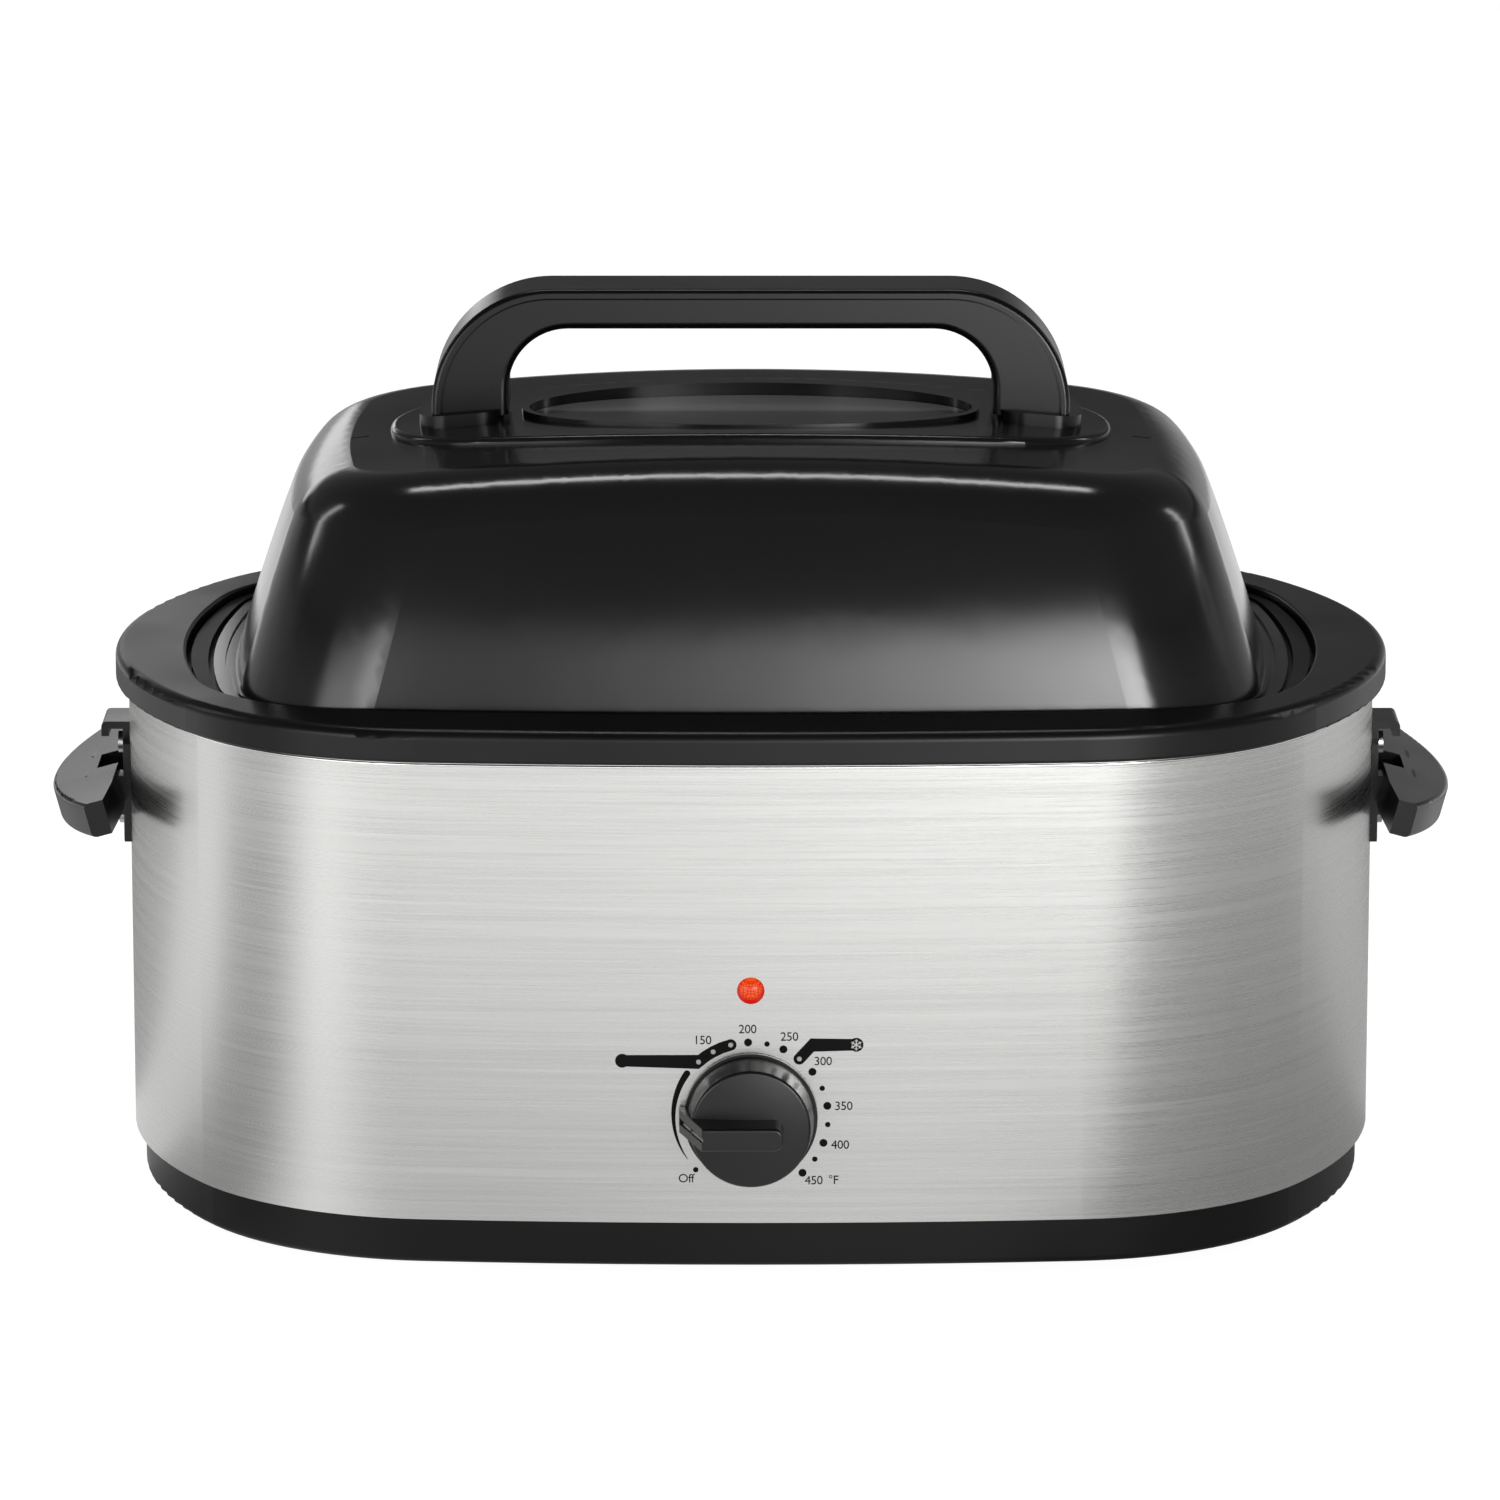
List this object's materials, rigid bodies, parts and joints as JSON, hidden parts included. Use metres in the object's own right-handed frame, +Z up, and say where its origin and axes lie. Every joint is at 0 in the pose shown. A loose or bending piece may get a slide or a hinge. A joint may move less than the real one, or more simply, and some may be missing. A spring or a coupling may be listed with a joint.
{
  "type": "electric roaster oven",
  "caption": "Oval countertop roaster oven with a lift-off domed lid, lift-out cookwell and rack, side grips, lamp and thermostat knob.",
  "frame": {"origin": "on the plane the rubber feet stand on, under the middle of the whole part's box", "axes": "+X along the long side, towards the right-hand grip seen from the front; -Y towards the knob; +Z up"},
  "size_m": [0.5622, 0.3896, 0.3615],
  "materials": {
    "base_plastic": "fine satin moulding",
    "feet_rubber": "matt rubber",
    "inner_steel": "plain sheet",
    "screw_steel": "zinc plated",
    "brushed_wrap": "brushed along the band",
    "rim_black": "satin black",
    "heater_metal": "heat darkened",
    "glass_fibre": "needled blanket",
    "pan_enamel": "black enamel",
    "rack_chrome": "bright plated wire",
    "lid_black": "gloss black coat",
    "tinted_glass": "dark tinted pane",
    "handle_black": "semi-gloss moulding",
    "knob_black": "gloss moulding",
    "thermostat_resin": "moulded resin",
    "lamp_red": "faceted red lens",
    "gland_plastic": "moulded gland"
  },
  "bodies": {
    "housing": {"base_tray": "base_plastic", "rubber_feet": "feet_rubber", "spacer_posts": "inner_steel", "base_screws": "screw_steel", "outer_wrap": "brushed_wrap", "rim_ring": "rim_black", "heat_well": "inner_steel", "heating_band": "heater_metal", "insulation_blanket": "glass_fibre", "left_handle_grip": "handle_black", "right_handle_grip": "handle_black", "left_handle_plate": "handle_black", "right_handle_plate": "handle_black", "handle_screws": "screw_steel", "thermostat_body": "thermostat_resin", "thermostat_bracket": "inner_steel", "lamp_lens": "lamp_red", "lamp_holder": "thermostat_resin", "cord_gland": "gland_plastic", "terminal_block": "thermostat_resin"},
    "cookwell_body": {"cookwell": "pan_enamel"},
    "rack_body": {"roasting_rack": "rack_chrome", "rack_handles": "rack_chrome"},
    "lid_body": {"lid_shell": "lid_black", "window_frame": "lid_black", "window_glass": "tinted_glass", "lid_handle_body": "handle_black", "lid_handle_cap": "handle_black", "lid_handle_screws": "screw_steel"},
    "knob_body": {"control_knob": "knob_black", "thermostat_shaft": "inner_steel"}
  },
  "joints": [
    {"name": "cookwell_lift", "type": "slide", "parent": "housing", "child": "cookwell_body", "axis": [0, 0, 1], "range_m": [0, 0.18]},
    {"name": "rack_lift", "type": "slide", "parent": "cookwell_body", "child": "rack_body", "axis": [0, 0, 1], "range_m": [0, 0.18]},
    {"name": "lid_lift", "type": "slide", "parent": "rack_body", "child": "lid_body", "axis": [0, 0, 1], "range_m": [0, 0.25]},
    {"name": "knob_turn", "type": "hinge", "parent": "housing", "child": "knob_body", "pos_m": [0, -0.16525, 0.064], "axis": [0, 1, 0], "range_deg": [-44, 228]}
  ]
}
